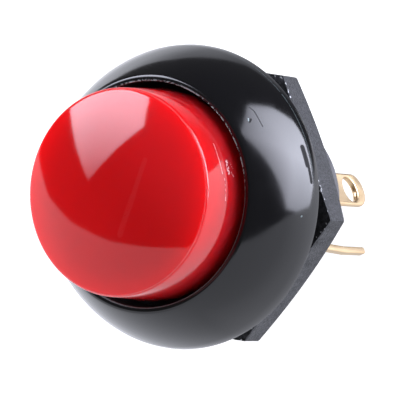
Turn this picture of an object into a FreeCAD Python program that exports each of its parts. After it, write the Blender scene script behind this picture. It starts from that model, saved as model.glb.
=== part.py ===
import FreeCAD, Part
import math
import os
import re

import Sketcher

doc = FreeCAD.newDocument("push_button_switch")

# Driving sizes in millimetres.
# The button's axis is +Z and the panel plane, the underside of the bezel, is at height 0.
sizes = {
    # Lamp and its holder
    "led_radius": "1.5",
    "led_flange_reach": "0.4",
    "led_flange_height": "0.8",
    "led_length": "4.5",
    "led_base_height": "-0.3",
    "post_margin": "0.05",
    "spigot_step": "0.05",
    "spigot_length": "1.15",
    "spring_seat_reach": "0.12",
    "spring_seat_height": "0.3",
    # Springs
    "return_wire": "0.36",
    "return_gap": "0.37",
    "return_turns": "7",
    "contact_wire": "0.3",
    "spring_gap": "0.67",
    "contact_turns": "5",
    "coil_gap": "0.27",
    "wire_sides": "8",
    # Plunger, with its seal and stops
    "press_travel": "1.6",
    "overtravel": "0.4",
    "neck_wall": "0.95",
    "neck_top": "6.1",
    "guide_clearance": "0.08",
    "stop_gap": "0.05",
    "flange_reach": "0.63",
    "web_height": "2.2",
    "web_thickness": "0.8",
    "web_clearance": "0.2",
    "ring_section": "0.7",
    "ring_squeeze_gap": "0.03",
    "groove_play": "0.1",
    "groove_land": "0.55",
    "bead_height": "4.1",
    "bead_length": "0.4",
    "bead_reach": "0.06",
    "skirt_wall": "0.7",
    "hook_reach": "0.3",
    "hook_thickness": "0.35",
    # Button cap and diffuser
    "cap_fit": "0.03",
    "cap_wall": "1.1",
    "cap_edge_height": "7.7",
    "cap_crown": "1.0",
    "cap_edge_round": "0.2",
    "cap_skirt_height": "3.2",
    "cap_skirt_round": "0.15",
    "cap_roof": "1.25",
    "diffuser_thickness": "0.5",
    "diffuser_fit": "0.05",
    # Bezel and bushing
    "cap_gap": "0.55",
    "bezel_overhang": "2.5",
    "bezel_height": "4.72",
    "dome_radius": "11.5",
    "rim_height": "0.55",
    "rim_draft": "0.05",
    "rim_step": "0.05",
    "lip_width": "0.4",
    "lip_outer_round": "0.18",
    "lip_inner_round": "0.2",
    "shelf_top": "1.4",
    "shelf_thickness": "0.9",
    "bushing_wall": "1.0",
    "bushing_length": "7.0",
    "bushing_chamfer": "0.4",
    "thread_pitch": "1.0",
    "thread_depth": "0.45",
    "thread_crest": "0.22",
    "thread_root": "0.2",
    "thread_relief": "0.7",
    "thread_overcut": "0.05",
    # Panel seal and nut
    "seal_thickness": "1.4",
    "seal_width": "1.6",
    "seal_clearance": "0.1",
    "seal_round": "0.3",
    "nut_wall": "1.4",
    "nut_thickness": "2.3",
    "nut_corner_round": "0.1",
    "nut_chamfer_angle": "24",
    "nut_chamfer_margin": "0.05",
    "thread_clearance": "0.05",
    # Contacts and terminals
    "contact_ring_thickness": "0.4",
    "contact_ring_clearance": "0.12",
    "contact_ring_gap": "0.42",
    "contact_touch_gap": "0.02",
    "terminal_thickness": "0.4",
    "terminal_bend": "0.15",
    "lug_gap": "0.6",
    "lug_width": "2.15",
    "lug_tip_height": "-17.63",
    "shank_width": "1.7",
    "eyelet_radius": "0.8",
    "eyelet_height": "-15.78",
    "foot_round": "0.6",
    "stud_head_radius": "0.5",
    "stud_head_height": "0.25",
    "stud_crown": "0.05",
    "stud_shank_radius": "0.3",
    "stud_clearance": "0.2",
    # Terminal base, resin and lamp leads
    "base_top": "-4.85",
    "base_fit": "0.08",
    "base_flange_reach": "0.58",
    "base_flange_thickness": "0.7",
    "base_rear": "-9.3",
    "base_edge_round": "0.3",
    "collar_gap": "0.05",
    "boss_margin": "0.1",
    "hook_clearance": "0.2",
    "recess_wall": "0.82",
    "recess_depth": "1.2",
    "resin_sink": "0.15",
    "lead_size": "0.45",
    "lead_pitch": "2.54",
    "lead_jog_margin": "0.3",
    "pin_pitch": "5.44",
    "pin_splay": "0.28",
    "splay_top": "-13.5",
    "splay_bottom": "-17.5",
    "anode_tip": "-20.2",
    "cathode_tip": "-18.9",
    "pin_tip_round": "0.2",
}

# Sizes that follow from the driving ones, worked out from the axis outwards
derived = {
    "led_flange_radius": "=led_radius + led_flange_reach",
    "led_top": "=led_base_height + led_length",
    "post_radius": "=led_flange_radius + post_margin",
    "spigot_radius": "=post_radius - spigot_step",
    "return_radius": "=post_radius + return_gap + return_wire / 2",
    "return_outer": "=return_radius + return_wire / 2",
    "contact_spring_radius": "=return_outer + spring_gap + contact_wire / 2",
    "neck_inner": "=contact_spring_radius + contact_wire / 2 + coil_gap",
    "neck_radius": "=neck_inner + neck_wall",
    "web_hole": "=led_flange_radius + web_clearance",
    "web_top": "=web_height + web_thickness",
    "shelf_bottom": "=shelf_top - shelf_thickness",
    "shelf_hole": "=neck_radius + guide_clearance",
    "bore_radius": "=neck_radius + flange_reach",
    "flange_radius": "=bore_radius - guide_clearance",
    "flange_top": "=shelf_bottom - stop_gap",
    "groove_radius": "=bore_radius - ring_squeeze_gap - ring_section",
    "groove_top": "=flange_top - groove_land",
    "groove_bottom": "=groove_top - ring_section - groove_play",
    "skirt_inner": "=flange_radius - skirt_wall",
    "cap_inner": "=neck_radius + cap_fit",
    "cap_radius": "=cap_inner + cap_wall",
    "cap_top": "=cap_edge_height + cap_crown",
    "cap_dome_radius": "=(cap_radius ^ 2 + cap_crown ^ 2) / (2 * cap_crown)",
    "roof_edge": "=neck_top + diffuser_thickness + diffuser_fit",
    "roof_top": "=cap_top - cap_roof",
    "roof_rise": "=roof_top - roof_edge",
    "roof_radius": "=(cap_inner ^ 2 + roof_rise ^ 2) / (2 * roof_rise)",
    "opening_radius": "=cap_radius + cap_gap",
    "lip_radius": "=opening_radius + lip_width",
    "bushing_radius": "=bore_radius + bushing_wall",
    "thread_flank": "=(thread_pitch - thread_crest - thread_root) / 2 / thread_depth",
    "groove_mouth": "=thread_root / 2 + (thread_depth + thread_overcut) * thread_flank",
    "thread_start": "=-bushing_length - thread_pitch",
    "bezel_radius": "=bushing_radius + bezel_overhang",
    "rim_top_radius": "=bezel_radius - rim_draft",
    "dome_foot_radius": "=rim_top_radius - rim_step",
    "seal_inner": "=bushing_radius + seal_clearance",
    "seal_outer": "=seal_inner + seal_width",
    "nut_bore": "=bushing_radius + thread_clearance",
    "nut_apothem": "=bushing_radius + nut_wall",
    "nut_corner": "=nut_apothem / cos(30)",
    "nut_back": "=-seal_thickness - nut_thickness",
    "nut_chamfer_start": "=nut_apothem - nut_chamfer_margin",
    "nut_chamfer_rise": "=(nut_corner - nut_chamfer_start) * tan(nut_chamfer_angle)",
    "contact_ring_inner": "=return_outer + contact_ring_gap",
    "contact_ring_outer": "=skirt_inner - contact_ring_clearance",
    "hook_inner": "=contact_ring_outer - hook_reach",
    "foot_top": "=base_top + terminal_thickness",
    "stud_top": "=foot_top + stud_head_height",
    "contact_gap": "=press_travel - overtravel",
    "contact_ring_bottom": "=stud_top + contact_gap + contact_touch_gap",
    "contact_ring_top": "=contact_ring_bottom + contact_ring_thickness",
    "hook_top": "=contact_ring_bottom - contact_touch_gap",
    "hook_bottom": "=hook_top - hook_thickness",
    "flange_bottom": "=contact_ring_top + overtravel + coil_gap",
    "stud_offset": "=hook_inner - stud_head_radius - stud_clearance",
    "foot_end": "=stud_offset + stud_head_radius",
    "lug_inner": "=post_radius + lug_gap - terminal_thickness / 2",
    "lug_outer": "=lug_inner + terminal_thickness",
    "bend_outer": "=terminal_bend + terminal_thickness",
    "bend_start": "=foot_top - bend_outer",
    "lug_round_height": "=lug_tip_height + lug_width / 2",
    "seat_radius": "=return_outer + spring_seat_reach",
    "seat_top": "=foot_top + spring_seat_height",
    "spigot_bottom": "=foot_top - spigot_length",
    "base_radius": "=bore_radius - base_fit",
    "base_flange_radius": "=base_radius + base_flange_reach",
    "base_flange_rear": "=-bushing_length - base_flange_thickness",
    "collar_radius": "=lug_inner - collar_gap",
    "boss_radius": "=foot_end + boss_margin",
    "base_step": "=hook_bottom - press_travel - hook_clearance",
    "recess_radius": "=base_radius - recess_wall",
    "recess_floor": "=base_rear + recess_depth",
    "resin_rear": "=base_rear + resin_sink",
    "lead_half": "=lead_size / 2",
    "lead_offset": "=lead_pitch / 2",
    "pin_offset": "=pin_pitch / 2",
    "pin_end_offset": "=pin_offset + pin_splay",
    "jog_top": "=spigot_bottom - lead_jog_margin",
    "jog_bottom": "=jog_top - (pin_offset - lead_offset)",
    "jog_mitre": "=lead_half * tan(22.5)",
}

sheet = doc.addObject("Spreadsheet::Sheet", "Sizes")
for row, (alias, content) in enumerate([*sizes.items(), *derived.items()], start=1):
    sheet.set(f"A{row}", alias)
    sheet.set(f"B{row}", content)
    sheet.setAlias(f"B{row}", alias)
doc.recompute()

aliases = {*sizes, *derived}
match_tolerance = 1e-4


def bound(formula):
    # Points each size named in a formula at its cell
    def cell(word):
        return f"Sizes.{word[0]}" if word[0] in aliases else word[0]

    return re.sub(r"[a-z][a-z0-9_]*", cell, formula)


def number(formula):
    return float(sheet.evalExpression(formula))


def is_close(first, second):
    return abs(first - second) < match_tolerance


# Sketches: every corner, arc and circle is bound to the sheet


def new_body(label):
    body = doc.addObject("PartDesign::Body", label)
    body.Label = label
    return body


def new_sketch(body, plane_role, purpose, offset=None):
    sketch = body.newObject("Sketcher::SketchObject", f"{body.Name}_{purpose}")
    plane = next(item for item in body.Origin.OriginFeatures if item.Role == plane_role)
    sketch.AttachmentSupport = [(plane, "")]
    sketch.MapMode = "FlatFace"
    if offset:
        sketch.setExpression("AttachmentOffset.Base.z", bound(offset))
    return sketch


def constrain(sketch, kind, *where, formula):
    value = number(formula)
    index = sketch.addConstraint(Sketcher.Constraint(kind, *where, value))
    sketch.setExpression(f"Constraints[{index}]", bound(formula))


def place_point(sketch, edge, end, across, up):
    # A coordinate of zero puts the point on a sketch axis
    for kind, formula, axis in (("DistanceX", across, -2), ("DistanceY", up, -1)):
        if formula == "0":
            sketch.addConstraint(Sketcher.Constraint("PointOnObject", edge, end, axis))
        else:
            constrain(sketch, kind, -1, 1, edge, end, formula=formula)


def bulge_point(start, finish, radius, side):
    chord = finish - start
    half = chord.Length / 2
    sagitta = radius - math.sqrt(max(radius**2 - half**2, 0))
    normal = FreeCAD.Vector(chord.y, -chord.x, 0).normalize()
    return (start + finish) / 2 + normal * sagitta * side


def outline(sketch, corners, arcs=None):
    # arcs maps an edge to its radius and the side it bulges to: 1 right of travel, -1 left
    arcs = arcs or {}
    points = [FreeCAD.Vector(number(across), number(up), 0) for across, up in corners]
    ends = []
    for index, start in enumerate(points):
        finish = points[(index + 1) % len(points)]
        if index not in arcs:
            ends.append((sketch.addGeometry(Part.LineSegment(start, finish)), 1, 2))
            continue
        radius, side = arcs[index]
        middle = bulge_point(start, finish, number(radius), side)
        if side > 0:
            ends.append((sketch.addGeometry(Part.Arc(start, middle, finish)), 1, 2))
        else:
            ends.append((sketch.addGeometry(Part.Arc(finish, middle, start)), 2, 1))
    for index, (edge, first, _) in enumerate(ends):
        before, _, last = ends[index - 1]
        sketch.addConstraint(Sketcher.Constraint("Coincident", before, last, edge, first))
        place_point(sketch, edge, first, *corners[index])
    for index, (radius, _) in arcs.items():
        constrain(sketch, "Radius", ends[index][0], formula=radius)


def circle(sketch, across, up, radius):
    centre = FreeCAD.Vector(number(across), number(up), 0)
    edge = sketch.addGeometry(Part.Circle(centre, FreeCAD.Vector(0, 0, 1), number(radius)))
    place_point(sketch, edge, 3, across, up)
    constrain(sketch, "Radius", edge, formula=radius)


# Features


def turned(body, corners, arcs=None, kind="Revolution"):
    sketch = new_sketch(body, "XZ_Plane", f"{kind.lower()}_profile")
    outline(sketch, corners, arcs)
    feature = body.newObject(f"PartDesign::{kind}", f"{body.Name}_{kind.lower()}")
    feature.Profile = sketch
    feature.ReferenceAxis = (sketch, ["V_Axis"])
    feature.Angle = 360
    doc.recompute()
    return feature


def padded(body, sketch, length, symmetric=False):
    feature = body.newObject("PartDesign::Pad", f"{sketch.Name}_pad")
    feature.Profile = sketch
    feature.setExpression("Length", bound(length))
    if symmetric:
        feature.SideType = "Symmetric"
    doc.recompute()
    return feature


def pocketed(body, sketch, depth):
    volume = body.Shape.Volume
    feature = body.newObject("PartDesign::Pocket", f"{sketch.Name}_pocket")
    feature.Profile = sketch
    feature.setExpression("Length", bound(depth))
    doc.recompute()
    if body.Shape.Volume > volume - match_tolerance:
        raise RuntimeError(f"{feature.Name} cuts nothing")
    return feature


def dressed(body, feature, kind, edges, size_name, formula):
    if not edges:
        raise RuntimeError(f"no edge found for a {kind} on {body.Label}")
    finish = body.newObject(f"PartDesign::{kind}", f"{body.Name}_{kind.lower()}")
    finish.Base = (feature, edges)
    finish.setExpression(size_name, bound(formula))
    doc.recompute()
    return finish


def rounded(body, feature, edges, radius):
    return dressed(body, feature, "Fillet", edges, "Radius", radius)


def edges_of_kind(feature, kind):
    # Names and edges of one curve kind; the collapsed edge at a pole has no curve
    for index, edge in enumerate(feature.Shape.Edges, start=1):
        if not edge.Degenerated and isinstance(edge.Curve, kind):
            yield f"Edge{index}", edge


def rings(feature, radius, height):
    found = []
    for name, edge in edges_of_kind(feature, Part.Circle):
        level = edge.Curve.Center.z
        if is_close(edge.Curve.Radius, number(radius)) and is_close(level, number(height)):
            found.append(name)
    return found


def straight_edges(feature, direction, wanted):
    # Edges along a direction whose middle is where the test function says
    found = []
    for name, edge in edges_of_kind(feature, Part.Line):
        along = abs(edge.tangentAt(edge.FirstParameter).dot(direction))
        if is_close(along, 1) and wanted(edge.CenterOfMass):
            found.append(name)
    return found


along_x = FreeCAD.Vector(1, 0, 0)
along_z = FreeCAD.Vector(0, 0, 1)
half_turn = FreeCAD.Placement(FreeCAD.Vector(), FreeCAD.Rotation(along_z, 180))


# Outer moulding


def threaded(body):
    # Screw groove from below the bushing's end up to a plain relief under the bezel
    groove = new_sketch(body, "XZ_Plane", "thread_groove")
    outline(
        groove,
        [
            ("bushing_radius + thread_overcut", "thread_start - groove_mouth"),
            ("bushing_radius + thread_overcut", "thread_start + groove_mouth"),
            ("bushing_radius - thread_depth", "thread_start + thread_root / 2"),
            ("bushing_radius - thread_depth", "thread_start - thread_root / 2"),
        ],
    )
    volume = body.Shape.Volume
    screw = body.newObject("PartDesign::SubtractiveHelix", f"{body.Name}_thread")
    screw.Profile = groove
    screw.ReferenceAxis = (groove, ["V_Axis"])
    screw.Mode = "pitch-height-angle"
    screw.setExpression("Pitch", bound("thread_pitch"))
    screw.setExpression("Height", bound("-thread_relief - thread_start"))
    doc.recompute()
    if body.Shape.Volume > volume - match_tolerance:
        raise RuntimeError("the thread cuts nothing")


def bezel_bushing():
    # Domed bezel, stop shelf and threaded bushing in one
    body = new_body("bezel_bushing")
    feature = turned(
        body,
        [
            ("bore_radius", "-bushing_length"),
            ("bushing_radius - bushing_chamfer", "-bushing_length"),
            ("bushing_radius", "-bushing_length + bushing_chamfer"),
            ("bushing_radius", "0"),
            ("bezel_radius", "0"),
            ("rim_top_radius", "rim_height"),
            ("dome_foot_radius", "rim_height"),
            ("lip_radius", "bezel_height"),
            ("opening_radius", "bezel_height"),
            ("opening_radius", "shelf_top"),
            ("shelf_hole", "shelf_top"),
            ("shelf_hole", "shelf_bottom"),
            ("bore_radius", "shelf_bottom"),
        ],
        {6: ("dome_radius", 1)},
    )
    outer_lip = rings(feature, "lip_radius", "bezel_height")
    feature = rounded(body, feature, outer_lip, "lip_outer_round")
    inner_lip = rings(feature, "opening_radius", "bezel_height")
    rounded(body, feature, inner_lip, "lip_inner_round")
    threaded(body)
    return body


def panel_seal():
    body = new_body("panel_seal")
    feature = turned(
        body,
        [
            ("seal_inner", "-seal_thickness"),
            ("seal_outer", "-seal_thickness"),
            ("seal_outer", "0"),
            ("seal_inner", "0"),
        ],
    )
    edges = rings(feature, "seal_outer", "-seal_thickness") + rings(feature, "seal_outer", "0")
    rounded(body, feature, edges, "seal_round")
    return body


def hex_nut():
    # Hexagon with flats facing along X, and its back corners turned off to a cone
    body = new_body("hex_nut")
    sketch = new_sketch(body, "XY_Plane", "hexagon", "nut_back")
    corner_angles = range(30, 390, 60)
    outline(sketch, [(f"nut_corner * cos({turn})", f"nut_corner * sin({turn})") for turn in corner_angles])
    circle(sketch, "0", "0", "nut_bore")
    feature = padded(body, sketch, "nut_thickness")
    reach = number("nut_corner")
    corners = straight_edges(feature, along_z, lambda spot: is_close(math.hypot(spot.x, spot.y), reach))
    rounded(body, feature, corners, "nut_corner_round")
    volume = body.Shape.Volume
    turned(
        body,
        [
            ("nut_chamfer_start", "nut_back"),
            ("nut_corner", "nut_back"),
            ("nut_corner", "nut_back + nut_chamfer_rise"),
        ],
        kind="Groove",
    )
    if body.Shape.Volume > volume - match_tolerance:
        raise RuntimeError("the nut's chamfer cuts nothing")
    return body


# Button


def button_cap():
    # Thick translucent shell with a crowned top and a snap groove inside the skirt
    body = new_body("button_cap")
    feature = turned(
        body,
        [
            ("cap_inner", "cap_skirt_height"),
            ("cap_radius", "cap_skirt_height"),
            ("cap_radius", "cap_edge_height"),
            ("0", "cap_top"),
            ("0", "roof_top"),
            ("cap_inner", "roof_edge"),
            ("cap_inner", "bead_height + bead_length"),
            ("cap_inner + bead_reach", "bead_height + bead_length"),
            ("cap_inner + bead_reach", "bead_height"),
            ("cap_inner", "bead_height"),
        ],
        {2: ("cap_dome_radius", 1), 4: ("roof_radius", -1)},
    )
    edge = rings(feature, "cap_radius", "cap_edge_height")
    feature = rounded(body, feature, edge, "cap_edge_round")
    foot = rings(feature, "cap_radius", "cap_skirt_height")
    rounded(body, feature, foot, "cap_skirt_round")
    return body


def light_diffuser():
    body = new_body("light_diffuser")
    sketch = new_sketch(body, "XY_Plane", "disc", "neck_top")
    circle(sketch, "0", "0", "cap_inner - diffuser_fit")
    padded(body, sketch, "diffuser_thickness")
    return body


def plunger():
    # Hollow slider: neck with snap bead, seal groove, spring web, and a skirt that hooks the ring
    body = new_body("plunger")
    turned(
        body,
        [
            ("hook_inner", "hook_bottom"),
            ("flange_radius", "hook_bottom"),
            ("flange_radius", "groove_bottom"),
            ("groove_radius", "groove_bottom"),
            ("groove_radius", "groove_top"),
            ("flange_radius", "groove_top"),
            ("flange_radius", "flange_top"),
            ("neck_radius", "flange_top"),
            ("neck_radius", "bead_height"),
            ("neck_radius + bead_reach", "bead_height + bead_length / 4"),
            ("neck_radius + bead_reach", "bead_height + bead_length * 3 / 4"),
            ("neck_radius", "bead_height + bead_length"),
            ("neck_radius", "neck_top"),
            ("neck_inner", "neck_top"),
            ("neck_inner", "web_top"),
            ("web_hole", "web_top"),
            ("web_hole", "web_height"),
            ("neck_inner", "web_height"),
            ("neck_inner", "flange_bottom"),
            ("skirt_inner", "flange_bottom"),
            ("skirt_inner", "hook_top"),
            ("hook_inner", "hook_top"),
        ],
    )
    return body


def plunger_seal():
    ring = doc.addObject("Part::Torus", "plunger_seal")
    ring.setExpression("Radius1", bound("groove_radius + ring_section / 2"))
    ring.setExpression("Radius2", bound("ring_section / 2"))
    ring.setExpression("Placement.Base.z", bound("groove_top - (ring_section + groove_play) / 2"))
    return ring


def coil(label, mean_radius, wire, low, high, turns):
    # Open-ended coil whose wire rests on its two seats; flats on the wire keep its mesh light
    spine = doc.addObject("Part::Helix", f"{label}_spine")
    spine.setExpression("Radius", bound(mean_radius))
    spine.setExpression("Height", bound(f"{high} - {low} - {wire}"))
    spine.setExpression("Pitch", bound(f"({high} - {low} - {wire}) / {turns}"))
    spine.setExpression("Placement.Base.z", bound(f"{low} + {wire} / 2"))
    section = doc.addObject("Part::RegularPolygon", f"{label}_section")
    section.setExpression("Polygon", bound("wire_sides"))
    section.setExpression("Circumradius", bound(f"{wire} / 2"))
    section.Placement.Rotation = FreeCAD.Rotation(along_x, 90)
    section.setExpression("Placement.Base.x", bound(mean_radius))
    section.setExpression("Placement.Base.z", bound(f"{low} + {wire} / 2"))
    doc.recompute()
    spring = doc.addObject("Part::Sweep", label)
    spring.Sections = [section]
    spring.Spine = (spine, [f"Edge{index + 1}" for index in range(len(spine.Shape.Edges))])
    spring.Solid = True
    spring.Frenet = True
    return spring


def contact_ring():
    body = new_body("contact_ring")
    sketch = new_sketch(body, "XY_Plane", "ring", "contact_ring_bottom")
    circle(sketch, "0", "0", "contact_ring_outer")
    circle(sketch, "0", "0", "contact_ring_inner")
    padded(body, sketch, "contact_ring_thickness")
    return body


# Lamp, leads and terminals


def led_lamp():
    body = new_body("led_lamp")
    turned(
        body,
        [
            ("0", "led_base_height"),
            ("led_flange_radius", "led_base_height"),
            ("led_flange_radius", "led_base_height + led_flange_height"),
            ("led_radius", "led_base_height + led_flange_height"),
            ("led_radius", "led_top - led_radius"),
            ("0", "led_top"),
        ],
        {4: ("led_radius", 1)},
    )
    return body


def lamp_lead(label, tip):
    # Square wire that jogs outwards inside the base and splays a little behind it
    body = new_body(label)
    sketch = new_sketch(body, "YZ_Plane", "run")
    sides = [
        [
            (f"lead_offset {sign} lead_half", "led_base_height"),
            (f"lead_offset {sign} lead_half", f"jog_top {sign} jog_mitre"),
            (f"pin_offset {sign} lead_half", f"jog_bottom {sign} jog_mitre"),
            (f"pin_offset {sign} lead_half", "splay_top"),
            (f"pin_end_offset {sign} lead_half", "splay_bottom"),
            (f"pin_end_offset {sign} lead_half", tip),
        ]
        for sign in "-+"
    ]
    outline(sketch, sides[0] + sides[1][::-1])
    feature = padded(body, sketch, "lead_size", symmetric=True)
    height = number(tip)
    ends = straight_edges(feature, along_x, lambda spot: is_close(spot.z, height))
    rounded(body, feature, ends, "pin_tip_round")
    return body


def terminal(label):
    # Solder lug, shank and bent-over foot cut from one strip, on the +X side
    body = new_body(label)
    strip = new_sketch(body, "YZ_Plane", "lug", "lug_inner")
    outline(
        strip,
        [
            ("-shank_width / 2", "bend_start"),
            ("-shank_width / 2", "recess_floor"),
            ("-lug_width / 2", "recess_floor"),
            ("-lug_width / 2", "lug_round_height"),
            ("0", "lug_tip_height"),
            ("lug_width / 2", "lug_round_height"),
            ("lug_width / 2", "recess_floor"),
            ("shank_width / 2", "recess_floor"),
            ("shank_width / 2", "bend_start"),
        ],
        {3: ("lug_width / 2", 1), 4: ("lug_width / 2", 1)},
    )
    circle(strip, "0", "eyelet_height", "eyelet_radius")
    padded(body, strip, "terminal_thickness")
    bend = new_sketch(body, "XZ_Plane", "foot")
    outline(
        bend,
        [
            ("lug_inner", "bend_start"),
            ("lug_outer", "bend_start"),
            ("lug_inner + bend_outer", "base_top"),
            ("foot_end", "base_top"),
            ("foot_end", "foot_top"),
            ("lug_inner + bend_outer", "foot_top"),
        ],
        {1: ("terminal_bend", -1), 5: ("bend_outer", -1)},
    )
    feature = padded(body, bend, "shank_width", symmetric=True)
    reach = number("foot_end")
    ends = straight_edges(feature, along_z, lambda spot: is_close(spot.x, reach))
    rounded(body, feature, ends, "foot_round")
    hole = new_sketch(body, "XY_Plane", "stud_hole", "foot_top")
    circle(hole, "stud_offset", "0", "stud_shank_radius")
    pocketed(body, hole, "terminal_thickness")
    return body


def contact_stud(label):
    body = new_body(label)
    turned(
        body,
        [
            ("0", "base_top"),
            ("stud_shank_radius", "base_top"),
            ("stud_shank_radius", "foot_top"),
            ("stud_head_radius", "foot_top"),
            ("stud_head_radius", "stud_top - stud_crown"),
            ("0", "stud_top"),
        ],
        {4: ("(stud_head_radius ^ 2 + stud_crown ^ 2) / (2 * stud_crown)", 1)},
    )
    return body


# Mouldings around the inserted metal


def base_moulding():
    body = new_body("base_moulding")
    feature = turned(
        body,
        [
            ("0", "spigot_bottom"),
            ("spigot_radius", "spigot_bottom"),
            ("spigot_radius", "foot_top"),
            ("collar_radius", "foot_top"),
            ("collar_radius", "base_top"),
            ("boss_radius", "base_top"),
            ("boss_radius", "base_step"),
            ("base_radius", "base_step"),
            ("base_radius", "-bushing_length"),
            ("base_flange_radius", "-bushing_length"),
            ("base_flange_radius", "base_flange_rear"),
            ("base_radius", "base_flange_rear"),
            ("base_radius", "base_rear"),
            ("recess_radius", "base_rear"),
            ("recess_radius", "recess_floor"),
            ("0", "recess_floor"),
        ],
    )
    rear_edge = rings(feature, "base_radius", "base_rear")
    rounded(body, feature, rear_edge, "base_edge_round")
    return body


def resin_fill():
    body = new_body("resin_fill")
    sketch = new_sketch(body, "XY_Plane", "disc", "resin_rear")
    circle(sketch, "0", "0", "recess_radius")
    padded(body, sketch, "recess_floor - resin_rear")
    return body


def holder_post():
    body = new_body("holder_post")
    turned(
        body,
        [
            ("0", "spigot_bottom"),
            ("spigot_radius", "spigot_bottom"),
            ("spigot_radius", "foot_top"),
            ("seat_radius", "foot_top"),
            ("seat_radius", "seat_top"),
            ("post_radius", "seat_top"),
            ("post_radius", "led_base_height"),
            ("0", "led_base_height"),
        ],
    )
    return body


def cut_round(label, moulding, inserts):
    # The moulding closes on its metal inserts, so their shapes are taken out of it
    piece = doc.addObject("Part::Cut", label)
    piece.Base = moulding
    piece.Tool = inserts
    return piece


anode = lamp_lead("led_anode_lead", "anode_tip")
anode.Placement = half_turn
cathode = lamp_lead("led_cathode_lead", "cathode_tip")
common = terminal("terminal_common")
opposite = terminal("terminal_open")
opposite.Placement = half_turn
common_stud = contact_stud("contact_stud_common")
common_stud.setExpression("Placement.Base.x", bound("stud_offset"))
opposite_stud = contact_stud("contact_stud_open")
opposite_stud.setExpression("Placement.Base.x", bound("-stud_offset"))
inserts = doc.addObject("Part::Compound", "inserts")
inserts.Links = [anode, cathode, common, opposite]

pieces = [
    bezel_bushing(),
    panel_seal(),
    hex_nut(),
    button_cap(),
    light_diffuser(),
    plunger(),
    plunger_seal(),
    coil("return_spring", "return_radius", "return_wire", "seat_top", "web_height", "return_turns"),
    coil("contact_spring", "contact_spring_radius", "contact_wire", "contact_ring_top", "web_height", "contact_turns"),
    contact_ring(),
    led_lamp(),
    cut_round("led_holder", holder_post(), inserts),
    anode,
    cathode,
    common,
    opposite,
    common_stud,
    opposite_stud,
    cut_round("terminal_base", base_moulding(), inserts),
    cut_round("resin_seal", resin_fill(), inserts),
]
doc.recompute()

for item in doc.Objects:
    if {"Invalid", "Error"} & set(item.State):
        raise RuntimeError(f"{item.Label} failed: {item.State}")
for piece in pieces:
    if piece.Shape.isNull() or not piece.Shape.isValid() or len(piece.Shape.Solids) != 1:
        raise RuntimeError(f"{piece.Label} is not one valid solid")

os.makedirs("parts", exist_ok=True)
for piece in pieces:
    piece.Shape.exportStep(f"parts/{piece.Label}.step")
    print(f"{piece.Label}: {piece.Shape.Volume:.3f} cubic mm")
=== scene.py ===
import math
import random

import bmesh
import bpy
from mathutils import Matrix, Vector


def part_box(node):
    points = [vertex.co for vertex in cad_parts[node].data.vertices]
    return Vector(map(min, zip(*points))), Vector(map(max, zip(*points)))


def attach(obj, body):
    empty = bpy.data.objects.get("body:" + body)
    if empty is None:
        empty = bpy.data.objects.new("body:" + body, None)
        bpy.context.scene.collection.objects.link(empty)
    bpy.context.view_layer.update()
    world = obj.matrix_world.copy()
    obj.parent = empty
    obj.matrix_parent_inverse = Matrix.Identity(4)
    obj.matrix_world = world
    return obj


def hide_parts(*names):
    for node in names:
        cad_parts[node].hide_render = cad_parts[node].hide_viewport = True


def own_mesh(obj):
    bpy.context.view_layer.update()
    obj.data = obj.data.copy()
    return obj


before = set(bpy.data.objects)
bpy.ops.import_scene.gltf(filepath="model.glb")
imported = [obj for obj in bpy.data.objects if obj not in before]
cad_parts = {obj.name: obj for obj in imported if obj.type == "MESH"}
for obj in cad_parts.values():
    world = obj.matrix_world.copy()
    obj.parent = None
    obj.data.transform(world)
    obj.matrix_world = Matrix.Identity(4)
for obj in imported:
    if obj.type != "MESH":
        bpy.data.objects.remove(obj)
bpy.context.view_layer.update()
mm = 0.001
fullTurn = 2 * math.pi
zAxis = Vector((0, 0, 1))
print("frame loaded with", len(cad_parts), "nodes")


# Node helpers

def metres(values):
    return [value * mm for value in values]


def rgb(red, green, blue):
    return (red, green, blue, 1.0)


def newGroup(name, inputs, outputs):
    group = bpy.data.node_groups.new(name, "ShaderNodeTree")
    for label, kind, value in inputs:
        socket = group.interface.new_socket(label, in_out="INPUT", socket_type=kind)
        socket.default_value = value
    for label, kind in outputs:
        group.interface.new_socket(label, in_out="OUTPUT", socket_type=kind)
    return group, group.nodes.new("NodeGroupInput"), group.nodes.new("NodeGroupOutput")


def placeGroup(tree, group, **values):
    node = tree.nodes.new("ShaderNodeGroup")
    node.node_tree = group
    for key, value in values.items():
        node.inputs[key].default_value = value
    return node.outputs


def plug(tree, value, socket):
    if isinstance(value, bpy.types.NodeSocket):
        tree.links.new(value, socket)
    else:
        socket.default_value = value


def addNode(tree, kind, settings=None, **inputs):
    node = tree.nodes.new(kind)
    for key, value in (settings or {}).items():
        setattr(node, key, value)
    for key, value in inputs.items():
        plug(tree, value, node.inputs[key.replace("_", " ")])
    return node


def calc(tree, operation, first, second=None, third=None):
    node = addNode(tree, "ShaderNodeMath", {"operation": operation})
    for value, socket in zip((first, second, third), node.inputs):
        if value is not None:
            plug(tree, value, socket)
    return node.outputs[0]


def vectorMath(tree, operation, first, second=None):
    node = addNode(tree, "ShaderNodeVectorMath", {"operation": operation})
    plug(tree, first, node.inputs[0])
    if second is not None:
        plug(tree, second, node.inputs["Scale" if operation == "SCALE" else 1])
    return node.outputs["Value" if operation in ("LENGTH", "DOT_PRODUCT") else "Vector"]


def remap(tree, value, low, high, toLow=0.0, toHigh=1.0):
    node = addNode(tree, "ShaderNodeMapRange", {"interpolation_type": "SMOOTHSTEP"})
    keys = ("Value", "From Min", "From Max", "To Min", "To Max")
    for key, setting in zip(keys, (value, low, high, toLow, toHigh)):
        plug(tree, setting, node.inputs[key])
    return node.outputs["Result"]


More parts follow.
